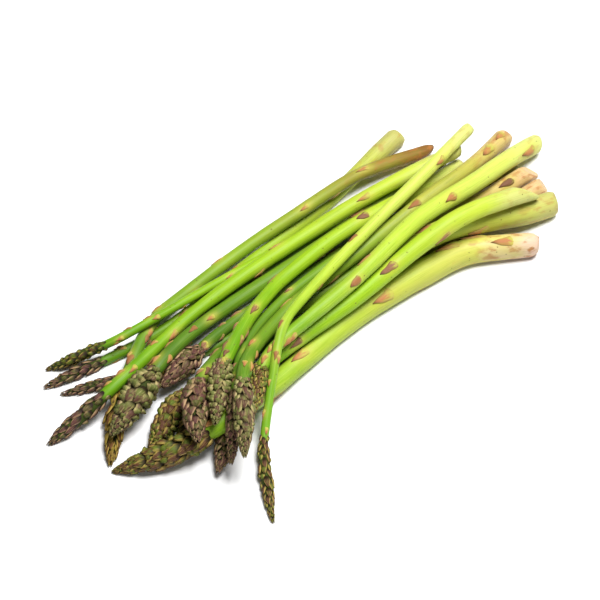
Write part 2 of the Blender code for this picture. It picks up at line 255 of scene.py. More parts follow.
class Spear:
    """The sizes of one spear, which come in millimetres and degrees.

    A side of a spear that runs along X is an angle: 0 towards -Y, 90 up and 180 towards +Y.
    """

    def __init__(self, node, diameters, head_length, cut, leaves, style):
        self.style = style
        self.butt, self.stem, self.neck, self.head = (size * MM / 2.0 for size in diameters)
        self.slope, cut_faces, self.blunt = cut
        self.cut_faces = math.radians(cut_faces)
        self.leaves = [(at * MM, math.radians(faces)) for at, faces in leaves]
        self.line, self.length = centre_line(node, LINE_PER_SLOPE * self.slope * self.butt)
        self.neck_at = self.length - head_length * MM
        self.head_length = head_length * MM
        self.rng = random.Random(node)

    def radius(self, at):
        """Radius of the outline at a length from the butt, as the solid has it."""
        widening = 1.0 - eased(at / (BUTT_SHARE * self.length))
        taper = eased((at / self.neck_at - (1.0 - NECK_SHARE)) / NECK_SHARE)
        bare = self.stem + (self.neck - self.stem) * taper + (self.butt - self.stem) * widening
        share = np.clip((at - self.neck_at) / self.head_length, 0.0, 1.0)
        closing = np.clip((share - HEAD_BELLY) / (1.0 - HEAD_BELLY), 0.0, 1.0)
        belly = self.neck + (self.head - self.neck) * eased(share / HEAD_BELLY)
        point = self.head * (1.0 - closing**HEAD_POINT) + TIP_RADIUS * closing
        crown = np.where(share < HEAD_BELLY, belly, point)
        return np.where(at > self.neck_at, crown, bare)

    def width(self, at):
        """Diameter at one length from the butt."""
        return 2.0 * float(self.radius(np.array(at)))


def store(mesh, name, kind, values):
    """Write values for each vertex into an attribute of the mesh."""
    entry = mesh.attributes.new(name, kind, "POINT")
    flat = np.ascontiguousarray(values, dtype=np.float32).ravel()
    entry.data.foreach_set("vector" if kind == "FLOAT_VECTOR" else "value", flat)


def corners_of(mesh):
    flat = np.empty(3 * len(mesh.vertices))
    mesh.vertices.foreach_get("co", flat)
    return flat.reshape(-1, 3)


def finish_shape(item, spear, corners, leaf, halo):
    """Put the corners in place and note where each one was on the straight spear."""
    mesh = item.data
    mesh.vertices.foreach_set("co", corners.ravel())
    mesh.update()
    mesh.polygons.foreach_set("use_smooth", [True] * len(mesh.polygons))
    reach = spear.radius(corners[:, 0])[:, None]
    grown = np.hstack([corners[:, :1], corners[:, 1:] * reach])
    store(mesh, "grown", "FLOAT_VECTOR", grown + spear.rng.uniform(0.0, 1.0))
    crown = np.maximum((corners[:, 0] - spear.neck_at) / spear.head_length, 0.0)
    store(mesh, "share", "FLOAT", np.clip(corners[:, 0] / spear.neck_at, 0.0, 1.0) + crown)
    store(mesh, "leaf", "FLOAT_VECTOR", leaf)
    store(mesh, "halo", "FLOAT", halo)


def pick_edges(mesh, wanted):
    """Select the edges that are wanted for the places of their two ends along the spear."""
    bpy.ops.mesh.select_all(action="DESELECT")
    bpy.ops.object.mode_set(mode="OBJECT")
    for edge in mesh.edges:
        edge.select = wanted(*(mesh.vertices[index].co.x for index in edge.vertices))
    bpy.ops.object.mode_set(mode="EDIT")


def straight_stem(spear):
    """The bare stem, from the cut face to the core of the head."""
    bpy.ops.object.select_all(action="DESELECT")
    bpy.ops.mesh.primitive_cylinder_add(
        vertices=SIDES, radius=1.0, depth=1.0, end_fill_type="NOTHING",
        rotation=(0.0, math.pi / 2.0, 0.0),
    )
    item = bpy.context.active_object
    bpy.ops.object.transform_apply(location=False, rotation=True, scale=False)
    mesh = item.data
    bpy.context.tool_settings.mesh_select_mode = (False, True, False)
    bpy.ops.object.mode_set(mode="EDIT")
    pick_edges(mesh, lambda first, second: abs(first - second) > 0.5)
    bpy.ops.mesh.subdivide(number_cuts=round(spear.length / RING_STEP) - 1)
    for end, insets in ((-0.5, BUTT_INSETS), (0.5, CORE_INSETS)):
        pick_edges(
            mesh, lambda first, second: max(abs(first - end), abs(second - end)) < END_MARGIN
        )
        for inset in insets:
            bpy.ops.mesh.extrude_region_move()
            bpy.ops.transform.resize(value=(1.0, inset, inset))
        bpy.ops.mesh.merge(type="CENTER")
    bpy.ops.mesh.select_all(action="SELECT")
    bpy.ops.mesh.normals_make_consistent(inside=False)
    bpy.ops.object.mode_set(mode="OBJECT")
    shape_stem(item, spear)
    return item


def shape_stem(item, spear):
    """Slant the cut, swell the nodes under the leaves and round off the butt's rim."""
    corners = corners_of(item.data)
    core_end = 1.0 - CORE_SHORT / spear.head_length
    at = (corners[:, 0] + 0.5) * spear.length
    at = np.where(at > spear.neck_at, spear.neck_at + (at - spear.neck_at) * core_end, at)
    across = np.hypot(corners[:, 1], corners[:, 2])
    round_it = np.arctan2(corners[:, 2], -corners[:, 1])
    on_cut = at < FACE_MARGIN

    swell = np.ones(len(at))
    halo = np.zeros(len(at))
    phase = spear.rng.uniform(0.0, 6.0)
    for leaf_at, faces in spear.leaves:
        away = np.abs((round_it - faces + math.pi) % (2.0 * math.pi) - math.pi)
        ahead = (at - leaf_at) / spear.width(leaf_at)
        near_side = np.exp(-((away / NODE_REACH) ** 2))
        side = NODE_FAR_SIDE + (1.0 - NODE_FAR_SIDE) * near_side
        swell += NODE_SWELL * np.exp(-((ahead / NODE_LENGTH) ** 2)) * side
        glow = ((ahead - HALO_AHEAD) / HALO_LENGTH) ** 2 + (away / HALO_REACH) ** 2
        halo = np.maximum(halo, np.exp(-glow))
    swell += RIDGES * np.cos(3.0 * round_it + phase) + FINE_RIDGES * np.cos(5.0 * round_it - phase)
    swell += WAVES * np.sin(at / WAVE_LENGTH + phase)

    in_head = eased((at - spear.neck_at + CORE_START) / CORE_FADE)
    thickness = ROUND_RADIUS * swell * (1.0 + (spear.style["core"] - 1.0) * in_head)
    inward = np.clip(at / (BUTT_ROUNDING * spear.blunt), 0.0, 1.0)
    cut_radius = BUTT_FACE**spear.blunt
    thickness *= cut_radius + (1.0 - cut_radius) * np.sqrt(inward * (2.0 - inward))

    dish = DISH_DEPTH * (1.0 - across**2) * on_cut
    slant = spear.slope * spear.butt * np.cos(round_it - spear.cut_faces) * across
    fade = 1.0 - eased(at / (SLANT_FADE + 2.0 * spear.slope * spear.butt))
    corners[:, 0] = at + dish + slant * fade
    corners[:, 1:] *= thickness[:, None]
    for face in item.data.polygons:
        if all(on_cut[index] for index in face.vertices):
            face.material_index = CUT_SLOT
    finish_shape(item, spear, corners, np.zeros_like(corners), halo)


# The skin and the cut face
# The skin is waxy, finely streaked along the stem and dotted with pores, and wears rusty at the
# butt. The cut shows moist pale flesh with the ends of its fibres.

WAX_RADIUS = (0.6, 1.0, 0.25)
WAX_DEPTH = 2.5 * MM

SKIN_STOPS = (0.03, 0.17, 0.55, 0.95)
CLOUD_SCALE = 210.0
STREAK_SCALE = 2600.0
BLOTCH_SCALE = 300.0
PORE_SCALE = 330.0
PALE_STREAKS = 0.20
DEEP_STREAKS = 0.26
HALO_COLOUR = (0.50, 0.46, 0.07)
HALO_STRENGTH = 0.7
CORE_PAINTED_SHADE_COLOUR = (0.03, 0.034, 0.006)
CORE_PAINTED_SHADE_STRENGTH = 0.9
RUST_COLOUR = (0.36, 0.14, 0.035)
PORE_COLOUR = (0.13, 0.09, 0.02)
PORE_STRENGTH = 0.8
SKIN_RELIEF = 0.14 * MM

FIBRE_SCALE = 900.0
FLESH_SCALE = 500.0
FIBRE_COLOUR = (0.42, 0.40, 0.12)
FIBRE_STRENGTH = 0.55
CUT_RELIEF = 0.2 * MM


class Value:
    """A number that varies over a surface, and adds and multiplies as plain numbers do."""

    def __init__(self, finish, socket):
        self.finish = finish
        self.socket = socket

    def math(self, operation, first, second):
        return self.finish.node("ShaderNodeMath", {"operation": operation}, {0: first, 1: second})

    def __add__(self, other):
        return self.math("ADD", self, other)

    def __radd__(self, other):
        return self.math("ADD", other, self)

    def __sub__(self, other):
        return self.math("SUBTRACT", self, other)

    def __rsub__(self, other):
        return self.math("SUBTRACT", other, self)

    def __mul__(self, other):
        return self.math("MULTIPLY", self, other)

    def __rmul__(self, other):
        return self.math("MULTIPLY", other, self)

    def __abs__(self):
        return self.math("ABSOLUTE", self, 0.0)


class Finish:
    """A material in the making."""

    def __init__(self, name):
        self.material = bpy.data.materials.new(name)
        self.material.use_nodes = True
        self.tree = self.material.node_tree
        self.shader = self.tree.nodes["Principled BSDF"]

    def node(self, kind, settings, inputs, output=0):
        """A node of a kind, with its settings made first and then its inputs set or linked."""
        made = self.tree.nodes.new(kind)
        for key, setting in settings.items():
            if key == "stops":
                ramp = made.color_ramp
                while len(ramp.elements) < len(setting):
                    ramp.elements.new(1.0)
                for stop, (place, colour) in zip(ramp.elements, setting):
                    stop.position = place
                    stop.color = (*colour, 1.0)
            else:
                setattr(made, key, setting)
        self.fill(made, inputs)
        return Value(self, made.outputs[output])

    def fill(self, made, inputs):
        for key, item in inputs.items():
            socket = made.inputs[key]
            if isinstance(item, Value):
                self.tree.links.new(item.socket, socket)
            else:
                socket.default_value = item

    def step(self, value, low, high):
        """0 below low, 1 above high, and smooth between them."""
        return self.node(
            "ShaderNodeMapRange",
            {"interpolation_type": "SMOOTHSTEP"},
            {"Value": value, "From Min": low, "From Max": high},
        )

    def mix(self, share, first, second):
        """From the first colour to the second one."""
        pair = [(*item, 1.0) if isinstance(item, tuple) else item for item in (first, second)]
        return self.node(
            "ShaderNodeMix", {"data_type": "RGBA"}, {0: share, 6: pair[0], 7: pair[1]}, 2
        )

    def noise(self, place, stretch, scale, detail=2.0):
        """Soft noise, stretched along the spear."""
        stretched = self.node(
            "ShaderNodeVectorMath", {"operation": "MULTIPLY"}, {0: place, 1: stretch}
        )
        return self.node(
            "ShaderNodeTexNoise", {}, {"Vector": stretched, "Scale": scale, "Detail": detail}
        )

    def cells(self, place, scale, randomness):
        """Distance from the middle of the nearest of many small cells."""
        return self.node(
            "ShaderNodeTexVoronoi", {}, {"Vector": place, "Scale": scale, "Randomness": randomness}
        )

    def split(self, vector):
        """The three numbers of a vector."""
        made = self.node("ShaderNodeSeparateXYZ", {}, {0: vector}).socket.node
        return [Value(self, output) for output in made.outputs]

    def attribute(self, name, output):
        return self.node("ShaderNodeAttribute", {"attribute_name": name}, {}, output)

    def done(self, colour, roughness, height, depth, subsurface, shine):
        normal = self.node(
            "ShaderNodeBump", {}, {"Height": height, "Distance": depth, "Strength": 1.0}
        )
        self.fill(
            self.shader,
            {
                "Base Color": colour,
                "Roughness": roughness,
                "Normal": normal,
                "Subsurface Weight": subsurface,
                "Subsurface Radius": WAX_RADIUS,
                "Subsurface Scale": WAX_DEPTH,
                "Specular IOR Level": shine,
            },
        )
        return self.material


def shade(colour, share):
    """A darker or lighter shade of a colour."""
    return tuple(channel * share for channel in colour)


def skin(name, butt, pale, green, deep, rust):
    """Waxy skin: pale at the butt, greener along the stem, yellowish round each leaf, and painted
    near-black shade on the core inside the head.
    """
    finish = Finish(name)
    grown = finish.attribute("grown", "Vector")
    share = finish.attribute("share", "Fac")
    halo = finish.attribute("halo", "Fac")
    clouds = finish.noise(grown, (0.35, 1.0, 1.0), CLOUD_SCALE)
    streaks = finish.noise(grown, (0.03, 1.0, 1.0), STREAK_SCALE, 3.0)
    stops = tuple(zip(SKIN_STOPS, (butt, pale, green, deep)))
    place = share + (clouds - 0.5) * 0.20
    tone = finish.node("ShaderNodeValToRGB", {"stops": stops}, {"Fac": place})
    tone = finish.mix(finish.step(streaks, 0.50, 0.74) * PALE_STREAKS, tone, shade(pale, 1.3))
    tone = finish.mix(finish.step(streaks, 0.50, 0.26) * DEEP_STREAKS, tone, shade(deep, 0.7))
    tone = finish.mix(halo * HALO_STRENGTH, tone, HALO_COLOUR)
    # Painted shade: the stem's core inside the head, seen only in the gaps between the scales, is
    # coloured near-black.
    tone = finish.mix(finish.step(share, 1.0, 1.12) * CORE_PAINTED_SHADE_STRENGTH, tone, CORE_PAINTED_SHADE_COLOUR)
    blotch = finish.noise(grown, (0.55, 1.0, 1.0), BLOTCH_SCALE, 4.0)
    worn = finish.step(share + (clouds - 0.5) * 0.3, 0.26, 0.02) * rust
    tone = finish.mix(finish.step(blotch, 0.50, 0.66) * worn, tone, RUST_COLOUR)
    pores = finish.cells(grown, PORE_SCALE, 1.0)
    chance = finish.noise(grown, (1.0, 1.0, 1.0), PORE_SCALE)
    specks = finish.step(pores, 0.16, 0.06) * finish.step(chance, 0.50, 0.58)
    tone = finish.mix(specks * PORE_STRENGTH, tone, PORE_COLOUR)
    roughness = 0.42 + streaks * 0.16 + specks * 0.2 + finish.step(share, 1.0, 1.1) * 0.4
    height = streaks * 0.6 - specks * 0.8 + clouds * 0.5
    return finish.done(tone, roughness, height, depth=SKIN_RELIEF, subsurface=0.05, shine=0.24)


def cut_skin(name, colour):
    """Cut face: moist pale flesh with the ends of its fibres as small dots."""
    finish = Finish(name)
    grown = finish.attribute("grown", "Vector")
    dots = finish.step(finish.cells(grown, FIBRE_SCALE, 0.9), 0.30, 0.12)
    cloud = finish.noise(grown, (1.0, 1.0, 1.0), FLESH_SCALE)
    tone = finish.mix(finish.step(cloud, 0.35, 0.7), colour, shade(colour, 0.78))
    tone = finish.mix(dots * FIBRE_STRENGTH, tone, FIBRE_COLOUR)
    height = cloud - dots * 0.6
    return finish.done(
        tone, 0.55 + cloud * 0.2, height, depth=CUT_RELIEF, subsurface=0.15, shine=0.4
    )


# Leaves and head scales
# Both start as one flat blade with a thin body, modelled once. Each copy is folded round the
# stem at its place, rooted in the skin, with its tip towards the spear's tip.

GOLDEN_TURN = math.radians(137.5)
LEAF_SLOT = 2
SCALE_SLOT = 3
BLADE_BODY = 0.10
BLADE_SHARE = 0.90

LEAF_ROOT_WIDTH = 0.75
LEAF_SHOULDER = 0.2
LEAF_RAGGED = 0.12
LEAF_FOOT = 0.985
LEAF_RISE = 0.055
LEAF_CROWN = 0.05
LEAF_EDGE_DROP = 0.035
LEAF_FULL_AT = 0.42
LEAF_FULL_LENGTH = 0.27
LEAF_TIP_WIDTH = 0.03
LEAF_SKEW = 0.16
LEAF_TAPERS = (0.6, 1.0)
LEAF_LENGTHS = (0.85, 1.2)
LEAF_HALF_ANGLES = (30.0, 44.0)
LEAF_FULLNESS = 0.05
LEAF_FULLER = 0.20
HEAD_LEAF_REACH = 60.0 * MM
LEAF_RELIEF = 0.18 * MM

NECK_LEAF_LENGTHS = (0.7, 1.05)
NECK_LEAF_HALF_ANGLES = (28.0, 46.0)
NECK_LEAF_FULLNESS = (0.06, 0.20)
NECK_LEAF_STEPS = (4.5, 8.0)
NECK_END = 2.0 * MM

SCALE_ROOT_WIDTH = 0.6
SCALE_SHOULDER = 0.4
SCALE_ROOT_DEPTH = 0.08
SCALE_SURFACE = 0.92
SCALE_OUT_BY = 0.42
SCALE_CROWN = 0.08
SCALE_FULL_AT = 0.5
SCALE_FULL_LENGTH = 0.3
SCALE_TIP_WIDTH = 0.04
SCALE_SKEW = 0.28
SCALE_LIFTS = (0.1, 1.4)
SCALE_OUTS = (0.93, 1.09)
SCALE_LENGTHS = (0.8, 1.2)
SCALE_WIDTHS = (0.85, 1.15)
SCALE_AT_NECK = 1.15
SCALE_SHORTENING = 0.35
SCALE_WANDER = 0.15
SCALE_RELIEF = 0.3 * MM
FIRST_SCALE = 1.0 * MM
LEAST_RADIUS = 1.7 * MM
PAST_TIP = 0.3 * MM
LAST_SCALE = 1.2 * MM
BUD_BULGE = 1.9
BUD_SPREAD = 0.42
BUD_TIP = -0.12
BUD_LENGTH = 0.65
BUD_WIDTH = 0.8


def leaf_skin(name, flush, margin, root):
    """Papery scale leaf: the stem's green at its root, flushed along its middle, tan margins."""
    finish = Finish(name)
    leaf = finish.attribute("leaf", "Vector")
    across, along, chance = finish.split(leaf)
    veins = finish.noise(leaf, (5.0, 0.7, 23.0), 2.0, 3.0)
    blotch = finish.noise(leaf, (1.3, 1.5, 37.0), 1.7, 3.0)
    dark = shade(flush, 0.3)
    flushed = finish.step(along + (blotch - 0.5) * 1.3 + (chance - 0.5) * 0.4, 0.0, 0.45)
    tone = finish.mix(flushed, root, flush)
    edge = finish.step(abs(across) + (veins - 0.5) * 0.7, 0.35, 0.95)
    tone = finish.mix(edge * 0.7, tone, margin)
    tone = finish.mix(finish.step(veins, 0.52, 0.7) * 0.4, tone, margin)
    tone = finish.mix(finish.step(along + (veins - 0.5) * 0.4, 0.66, 1.0) * 0.65, tone, dark)
    tone = finish.mix(finish.step(chance, 0.45, 1.0) * 0.5, tone, dark)
    height = veins * 0.8 + blotch * 0.4
    return finish.done(
        tone, 0.5 + veins * 0.2, height, depth=LEAF_RELIEF, subsurface=0.03, shine=0.22
    )


def scale_skin(name, body, flush, margin):
    """Head scale: fleshy green body, a purple-brown flush to its tip, thin tan margins, a dark
    tip, and painted shade at its root.
    """
    finish = Finish(name)
    leaf = finish.attribute("leaf", "Vector")
    across, along, chance = finish.split(leaf)
    bud = finish.attribute("halo", "Fac")
    veins = finish.noise(leaf, (5.0, 0.9, 31.0), 2.0, 3.0)
    blotch = finish.noise(leaf, (1.0, 1.3, 41.0), 1.7, 3.0)
    # Dark serves both the scale's own dark tip and the painted shade at its root.
    dark = shade(flush, 0.14)
    reach = along * 0.5 + chance * 0.6 + (blotch - 0.5) * 1.4 - bud * 0.5
    tone = finish.mix(finish.step(reach, 0.25, 0.70), body, flush)
    edge = finish.step(abs(across) + (veins - 0.5) * 0.5, 0.45, 1.0)
    tone = finish.mix(edge * 0.80, tone, margin)
    tone = finish.mix(finish.step(veins, 0.54, 0.70) * 0.5, tone, margin)
    tone = finish.mix(finish.step(along, 0.8, 1.0) * 0.7, tone, dark)
    # Painted shade: each scale is darkened towards its root, where it tucks under the scales
    # around it.
    tone = finish.mix(finish.step(along, 0.56, 0.16) * 0.94, tone, dark)
    height = veins * 0.8 + blotch * 0.5
    return finish.done(
        tone, 0.50 + veins * 0.16, height, depth=SCALE_RELIEF, subsurface=0.01, shine=0.20
    )


def blade(name, across, along):
    """A flat blade from -1 to 1 across and 0 to 1 along, with an upper and a lower side."""
    bpy.ops.object.select_all(action="DESELECT")
    bpy.ops.mesh.primitive_grid_add(x_subdivisions=across, y_subdivisions=along, size=2.0)
    item = bpy.context.active_object
    item.name = name
    for vertex in item.data.vertices:
        vertex.co.y = (vertex.co.y + 1.0) / 2.0
    body = item.modifiers.new("body", "SOLIDIFY")
    body.thickness = 1.0
    body.offset = -1.0
    bpy.ops.object.modifier_apply(modifier="body")
    return item


leaf_blade = blade("leaf_blade", across=10, along=10)
scale_blade = blade("scale_blade", across=4, along=5)


def bell(along, middle, length):
    """A bump of height 1 along a blade."""
    return np.exp(-(((along - middle) / length) ** 2))


def fold(spear, master, at, faces, length, half_angle, form, slot, bud=0.0):
    """One copy of a blade, folded round the spear. The form gives its width, lift and turn."""
    item = master.copy()
    item.data = master.data.copy()
    bpy.context.scene.collection.objects.link(item)
    across, along, under = corners_of(item.data).T
    width, lift, turn = form(across, along)
    chance = spear.rng.random()
    angle = faces + half_angle * width * across + turn
    lower = np.minimum(lift - BLADE_BODY, BLADE_SHARE * lift)
    outward = np.where(under < -0.5, lower, lift)
    placed = np.stack(
        [at + length * along, -np.cos(angle) * outward, np.sin(angle) * outward], axis=1
    )
    leaf = np.stack([across, along, np.full(len(along), chance)], axis=1)
    item.data.polygons.foreach_set("material_index", [slot] * len(item.data.polygons))
    finish_shape(item, spear, placed, leaf, np.full(len(along), bud))
    return item


def leaf_form(rng, bulge):
    """A leaf that hugs the stem: broad at its root, pointed, a little fuller over its bud."""
    skew = rng.uniform(-LEAF_SKEW, LEAF_SKEW)
    wave = rng.uniform(0.0, 6.0)
    taper = rng.uniform(*LEAF_TAPERS)

    def form(across, along):
        shoulder = eased(along / LEAF_SHOULDER)
        width = np.maximum(1.0 - along, 0.0) ** taper
        width *= LEAF_ROOT_WIDTH + (1.0 - LEAF_ROOT_WIDTH) * shoulder
        width *= 1.0 + LEAF_RAGGED * np.sin(8.0 * along + wave + 0.8 * np.sign(across))
        crown = 1.0 - across**2
        lift = LEAF_FOOT + LEAF_RISE * shoulder + LEAF_CROWN * along * crown
        lift += bulge * crown * bell(along, LEAF_FULL_AT, LEAF_FULL_LENGTH)
        lift -= LEAF_EDGE_DROP * (1.0 - crown) * (1.0 - along)
        return np.maximum(width, LEAF_TIP_WIDTH), lift, skew * along**2

    return form


def scale_form(rng, style, share, bud):
    """A head scale: rooted deep, cupped over what it covers. A bud is shorter and rounder."""
    bulge = style["bulge"] * (1.0 - 0.5 * share) * (BUD_BULGE if bud else 1.0)
    spread = BUD_SPREAD if bud else style["spread"]
    tip = BUD_TIP if bud else style["lift"] * rng.uniform(*SCALE_LIFTS)
    skew = rng.uniform(-SCALE_SKEW, SCALE_SKEW)
    out = rng.uniform(*SCALE_OUTS)
    root = style["core"] - SCALE_ROOT_DEPTH

    def form(across, along):
        shoulder = eased(np.clip(along / SCALE_SHOULDER, 0.0, 1.0))
        width = SCALE_ROOT_WIDTH + (1.0 - SCALE_ROOT_WIDTH) * shoulder
        width *= np.maximum(1.0 - along, 0.0) ** spread
        crown = 1.0 - across**2
        lift = root + (SCALE_SURFACE - root) * eased(along / SCALE_OUT_BY) + tip * along**2
        lift += bulge * crown * bell(along, SCALE_FULL_AT, SCALE_FULL_LENGTH)
        lift += SCALE_CROWN * crown
        return np.maximum(width, SCALE_TIP_WIDTH), lift * out, skew * along

    return form


def grow(spear):
    """All the leaves and head scales of a spear: on the stem, on the neck and on the head."""
    grown = []
    rng = spear.rng
    style = spear.style
    for at, faces in spear.leaves:
        near_head = float(eased(1.0 - (spear.neck_at - at) / HEAD_LEAF_REACH))
        length = spear.width(at) * rng.uniform(*LEAF_LENGTHS)
        half = math.radians(rng.uniform(*LEAF_HALF_ANGLES))
        form = leaf_form(rng, LEAF_FULLNESS + LEAF_FULLER * near_head)
        grown.append(fold(spear, leaf_blade, at, faces, length, half, form, LEAF_SLOT))

    at = spear.neck_at - style["neck"] * MM
    turn = rng.uniform(0.0, 6.0)
    while at < spear.neck_at - NECK_END:
        length = spear.width(at) * rng.uniform(*NECK_LEAF_LENGTHS)
        half = math.radians(rng.uniform(*NECK_LEAF_HALF_ANGLES))
        form = leaf_form(rng, rng.uniform(*NECK_LEAF_FULLNESS))
        grown.append(fold(spear, leaf_blade, at, turn, length, half, form, LEAF_SLOT))
        turn += GOLDEN_TURN
        at += rng.uniform(*NECK_LEAF_STEPS) * MM

    at = spear.neck_at - FIRST_SCALE
    while at < spear.length - LAST_SCALE:
        size = max(spear.width(at) / 2.0, LEAST_RADIUS)
        share = (at - spear.neck_at) / spear.head_length
        bud = rng.random() < style["buds"]
        long = style["long"] * size * rng.uniform(*SCALE_LENGTHS) * (BUD_LENGTH if bud else 1.0)
        shorter = SCALE_AT_NECK - SCALE_SHORTENING * share
        length = min(long * shorter, spear.length - at + PAST_TIP)
        half = math.radians(style["wide"] * rng.uniform(*SCALE_WIDTHS))
        half *= BUD_WIDTH if bud else 1.0
        form = scale_form(rng, style, share, bud)
        grown.append(
            fold(spear, scale_blade, at, turn, length, half, form, SCALE_SLOT, float(bud))
        )
        turn += GOLDEN_TURN + rng.uniform(-SCALE_WANDER, SCALE_WANDER)
        at += style["pitch"] * size
    return grown


# The front spear
# The thickest of the bundle. Its butt is blunt and pale pink with rusty blotches, and its head
# is compact. Each spear's stem, leaves and scales are joined into one and laid down as a whole.

COMPACT = {
    "long": 1.3, "wide": 36.0, "bulge": 0.16, "lift": 0.16, "spread": 0.60, "pitch": 0.075,
    "core": 0.72, "buds": 0.25, "neck": 24.0,
}
LEAF_ROOT = (0.44, 0.43, 0.07)

front_skin = skin(
    "front_skin", butt=(0.66, 0.46, 0.34), pale=(0.50, 0.49, 0.09), green=(0.37, 0.48, 0.04),
    deep=(0.19, 0.36, 0.01), rust=0.9,
)
pale_cut = cut_skin("pale_cut", (0.72, 0.64, 0.38))
tan_leaf = leaf_skin(
    "tan_leaf", flush=(0.42, 0.17, 0.06), margin=(0.40, 0.28, 0.07), root=LEAF_ROOT
)
olive_scale = scale_skin(
    "olive_scale", body=(0.10, 0.14, 0.012), flush=(0.092, 0.034, 0.018),
    margin=(0.56, 0.41, 0.10),
)


def lay_down(item, spear):
    """Lay the straight spear along its line, with its real radius, and rest it on the surface."""
    path = bpy.data.curves.new("path", "CURVE")
    path.dimensions = "3D"
    path.twist_mode = "Z_UP"
    path.use_radius = True
    spline = path.splines.new("POLY")
    spline.points.add(len(spear.line) - 1)
    steps = len(spear.line) - 1 - 2 * RUN_OUT
    marks = (np.arange(len(spear.line)) - RUN_OUT) * spear.length / steps
    radii = spear.radius(np.clip(marks, 0.0, spear.length))
    for point, place, radius in zip(spline.points, spear.line, radii):
        point.co = (*place, 1.0)
        point.radius = radius
    guide = bpy.data.objects.new("path", path)
    bpy.context.scene.collection.objects.link(guide)
    for vertex in item.data.vertices:
        vertex.co.x += RUN_OUT * FINE_STEP
    bend = item.modifiers.new("bend", "CURVE")
    bend.object = guide
    bend.deform_axis = "POS_X"
    bpy.context.view_layer.objects.active = item
    bpy.ops.object.modifier_apply(modifier="bend")
    bpy.data.objects.remove(guide)
    corners = corners_of(item.data)
    corners[:, 2] = np.maximum(corners[:, 2], 0.0)
    item.data.vertices.foreach_set("co", corners.ravel())
    item.data.update()


def spear_piece(node, diameters, head_length, cut, leaves, style, finishes):
    """Model one spear, lay it down, and let it stand for its node.

    Diameters are those of the butt, stem, neck and head. A cut has its slope, the side that it
    faces and how blunt its rim is. A leaf has its place along the stem and the side it is on.
    Finishes are those of the skin, cut face, leaves and head scales.
    """
    spear = Spear(node, diameters, head_length, cut, leaves, style)
    stem = straight_stem(spear)
    bpy.ops.object.select_all(action="DESELECT")
    for part in [stem] + grow(spear):
        for finish in finishes:
            part.data.materials.append(finish)
        part.select_set(True)
    bpy.context.view_layer.objects.active = stem
    bpy.ops.object.join()
    stem.name = node + "_fine"
    lay_down(stem, spear)
    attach(stem, "root")
    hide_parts(node)


spear_piece(
    "spear_front", (11.7, 13.0, 9.0, 11.0), 45, (0.1, 180, 2.6),
    [(12, 105), (24, 45), (37, 70), (58, 250), (79, 130), (104, 340), (130, 90), (150, 240),
     (166, 140), (182, 20)],
    COMPACT, (front_skin, pale_cut, tan_leaf, olive_scale),
)

# The spear at the edge
# Thick and dull olive, beside the front one, with a worn butt and a purple head. Its head
# scales are dark at their roots and pinkish tan along their margins.

pale_skin = skin(
    "pale_skin", butt=(0.44, 0.42, 0.12), pale=(0.42, 0.46, 0.06), green=(0.25, 0.41, 0.01),
    deep=(0.10, 0.24, 0.005), rust=0.5,
)
purple_scale = scale_skin(
    "purple_scale", body=(0.085, 0.088, 0.018), flush=(0.10, 0.037, 0.031),
    margin=(0.50, 0.33, 0.17),
)

spear_piece(
    "spear_edge", (12.6, 11.2, 8.0, 9.0), 34, (0.3, 150, 1.0),
    [(16, 330), (40, 190), (66, 60), (96, 300), (125, 130), (150, 20), (170, 220), (184, 100)],
    COMPACT, (pale_skin, pale_cut, tan_leaf, purple_scale),
)

# Two spears with pink-brown butts
# Both end in wide heads. One head is knobby, as about half of its scales are short, round buds,
# and the other is compact and purple.

KNOBBY = {
    "long": 1.2, "wide": 37.0, "bulge": 0.24, "lift": 0.10, "spread": 0.50, "pitch": 0.062,
    "core": 0.72, "buds": 0.50, "neck": 30.0,
}

pink_skin = skin(
    "pink_skin", butt=(0.62, 0.41, 0.20), pale=(0.42, 0.37, 0.07), green=(0.20, 0.33, 0.02),
    deep=(0.09, 0.20, 0.01), rust=0.7,
)
pink_cut = cut_skin("pink_cut", (0.62, 0.44, 0.24))
purple_leaf = leaf_skin(
    "purple_leaf", flush=(0.25, 0.11, 0.06), margin=(0.30, 0.19, 0.055), root=LEAF_ROOT
)

spear_piece(
    "spear_olive", (9.0, 7.2, 5.9, 10.4), 34, (0.6, 120, 1.0),
    [(14, 135), (31, 260), (49, 120), (76, 350), (103, 220), (130, 60), (156, 300), (178, 170),
     (195, 50)],
    KNOBBY, (pink_skin, pink_cut, purple_leaf, olive_scale),
)
spear_piece(
    "spear_pointed_butt", (9.0, 8.5, 6.8, 11.0), 36, (1.0, 90, 1.0),
    [(13, 110), (40, 250), (68, 30), (97, 170), (125, 300), (150, 70), (172, 210), (189, 350),
     (203, 125)],
    COMPACT, (pink_skin, pink_cut, purple_leaf, purple_scale),
)

# Two spears with slender heads
# Their heads are hardly wider than their necks, with few, long scales. One is thin and deep
# green at the bottom of the pile, and the other has the club-like butt at the back.

SLENDER = {
    "long": 2.1, "wide": 42.0, "bulge": 0.15, "lift": 0.18, "spread": 0.65, "pitch": 0.27,
    "core": 0.86, "buds": 0.20, "neck": 42.0,
}

deep_skin = skin(
    "deep_skin", butt=(0.36, 0.38, 0.08), pale=(0.26, 0.34, 0.03), green=(0.13, 0.26, 0.01),
    deep=(0.07, 0.16, 0.01), rust=0.4,
)

spear_piece(
    "spear_twig", (5.4, 5.0, 4.0, 4.8), 30, (0.2, 90, 1.0),
    [(20, 40), (55, 180), (90, 310), (125, 90), (158, 230), (188, 10), (208, 150)],
    SLENDER, (deep_skin, pale_cut, purple_leaf, purple_scale),
)
spear_piece(
    "spear_back_club", (9.9, 7.4, 5.0, 5.4), 30, (0.2, 90, 1.0),
    [(16, 220), (38, 80), (64, 310), (90, 180), (114, 70), (132, 270), (148, 100), (166, 230),
     (183, 40)],
    SLENDER, (pale_skin, pale_cut, tan_leaf, purple_scale),
)

